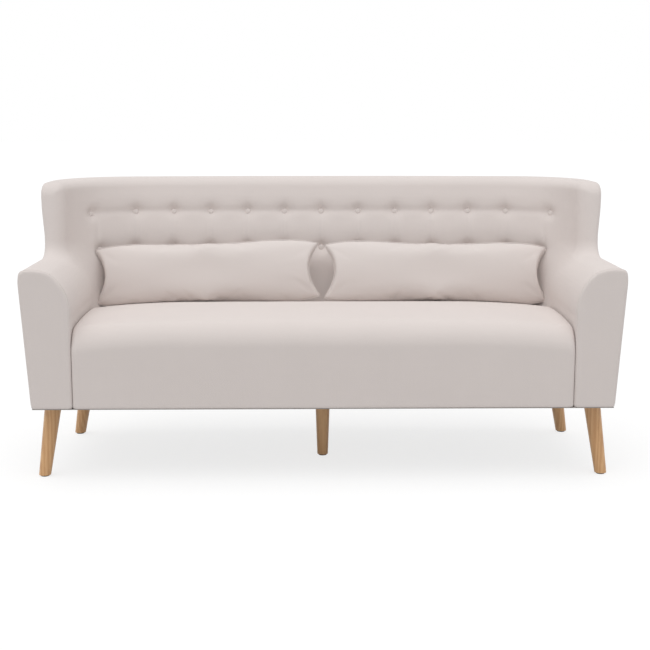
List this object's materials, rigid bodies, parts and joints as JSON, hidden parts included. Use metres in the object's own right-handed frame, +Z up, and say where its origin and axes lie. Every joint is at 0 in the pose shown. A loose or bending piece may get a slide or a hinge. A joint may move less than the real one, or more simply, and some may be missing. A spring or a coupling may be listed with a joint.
{
  "type": "three-seat sofa",
  "caption": "Upholstered sofa with flared arms, a curved buttoned wing back, a fixed bench seat, loose lumbar cushions and tapered wooden legs.",
  "frame": {"origin": "on the floor, midway between the sides and midway between the front of the arms and the rear of the back", "axes": "+X to the right of a person facing the sofa, +Y to the rear, +Z up"},
  "size_m": [1.82, 0.8, 0.88],
  "materials": {
    "upholstery": "plain woven upholstery cloth, light greige",
    "lining": "black spun-bonded lining cloth and felt",
    "leg_wood": "clear satin lacquer on light hardwood",
    "frame_wood": "planed, unfinished",
    "hardboard": "smooth pressed board",
    "foam": "cut upholstery foam",
    "filling": "fibre filling in a white casing",
    "spring_steel": "drawn wire",
    "zinc_steel": "zinc plated",
    "webbing": "elastic webbing and tufting twine",
    "nylon": "moulded nylon",
    "zip_metal": "plain"
  },
  "bodies": {
    "sofa": {"arm_bolts": "zinc_steel", "arm_bottom_rails": "frame_wood", "arm_front_panels": "frame_wood", "arm_rear_panels": "frame_wood", "arm_side_boards": "hardboard", "arm_top_rails": "frame_wood", "back_buttons": "upholstery", "back_cross_rails": "frame_wood", "back_foam": "foam", "back_posts": "frame_wood", "back_top_rail": "frame_wood", "back_webbing": "webbing", "button_twines": "webbing", "centre_leg": "leg_wood", "centre_stretcher": "frame_wood", "corner_blocks": "frame_wood", "corner_boards": "frame_wood", "dust_cover": "lining", "front_left_leg": "leg_wood", "front_rail": "frame_wood", "front_right_leg": "leg_wood", "inside_back_cover": "upholstery", "inside_wing_covers": "upholstery", "left_arm_cover": "upholstery", "left_arm_foam": "foam", "left_wing_foam": "foam", "leg_bolts": "zinc_steel", "leg_glides": "nylon", "leg_plates": "zinc_steel", "middle_posts": "frame_wood", "outside_back_board": "hardboard", "outside_back_cover": "upholstery", "plate_screws": "zinc_steel", "rear_left_leg": "leg_wood", "rear_posts": "frame_wood", "rear_rail": "frame_wood", "rear_right_leg": "leg_wood", "right_arm_cover": "upholstery", "right_arm_foam": "foam", "right_wing_foam": "foam", "seat_back_rail": "frame_wood", "seat_cover": "upholstery", "seat_foam": "foam", "seat_springs": "spring_steel", "side_rails": "frame_wood", "spring_clips": "spring_steel", "spring_pad": "lining", "spring_tie_wires": "spring_steel", "twine_anchors": "zinc_steel", "wing_posts": "frame_wood", "wing_top_rails": "frame_wood"},
    "left_cushion": {"left_cushion_cover": "upholstery", "left_cushion_pad": "filling", "left_cushion_zip": "nylon"},
    "right_cushion": {"right_cushion_cover": "upholstery", "right_cushion_pad": "filling", "right_cushion_zip": "nylon"},
    "left_zip": {"left_zip_slider": "zip_metal"},
    "right_zip": {"right_zip_slider": "zip_metal"}
  },
  "joints": [
    {"name": "left_cushion_lift", "type": "slide", "parent": "sofa", "child": "left_cushion", "axis": [0, -0.5, 0.866], "range_m": [0, 0.5]},
    {"name": "right_cushion_lift", "type": "slide", "parent": "sofa", "child": "right_cushion", "axis": [0, -0.5, 0.866], "range_m": [0, 0.5]},
    {"name": "left_zip_slide", "type": "slide", "parent": "left_cushion", "child": "left_zip", "axis": [-1, 0, 0], "range_m": [0, 0.406]},
    {"name": "right_zip_slide", "type": "slide", "parent": "right_cushion", "child": "right_zip", "axis": [1, 0, 0], "range_m": [0, 0.406]}
  ]
}
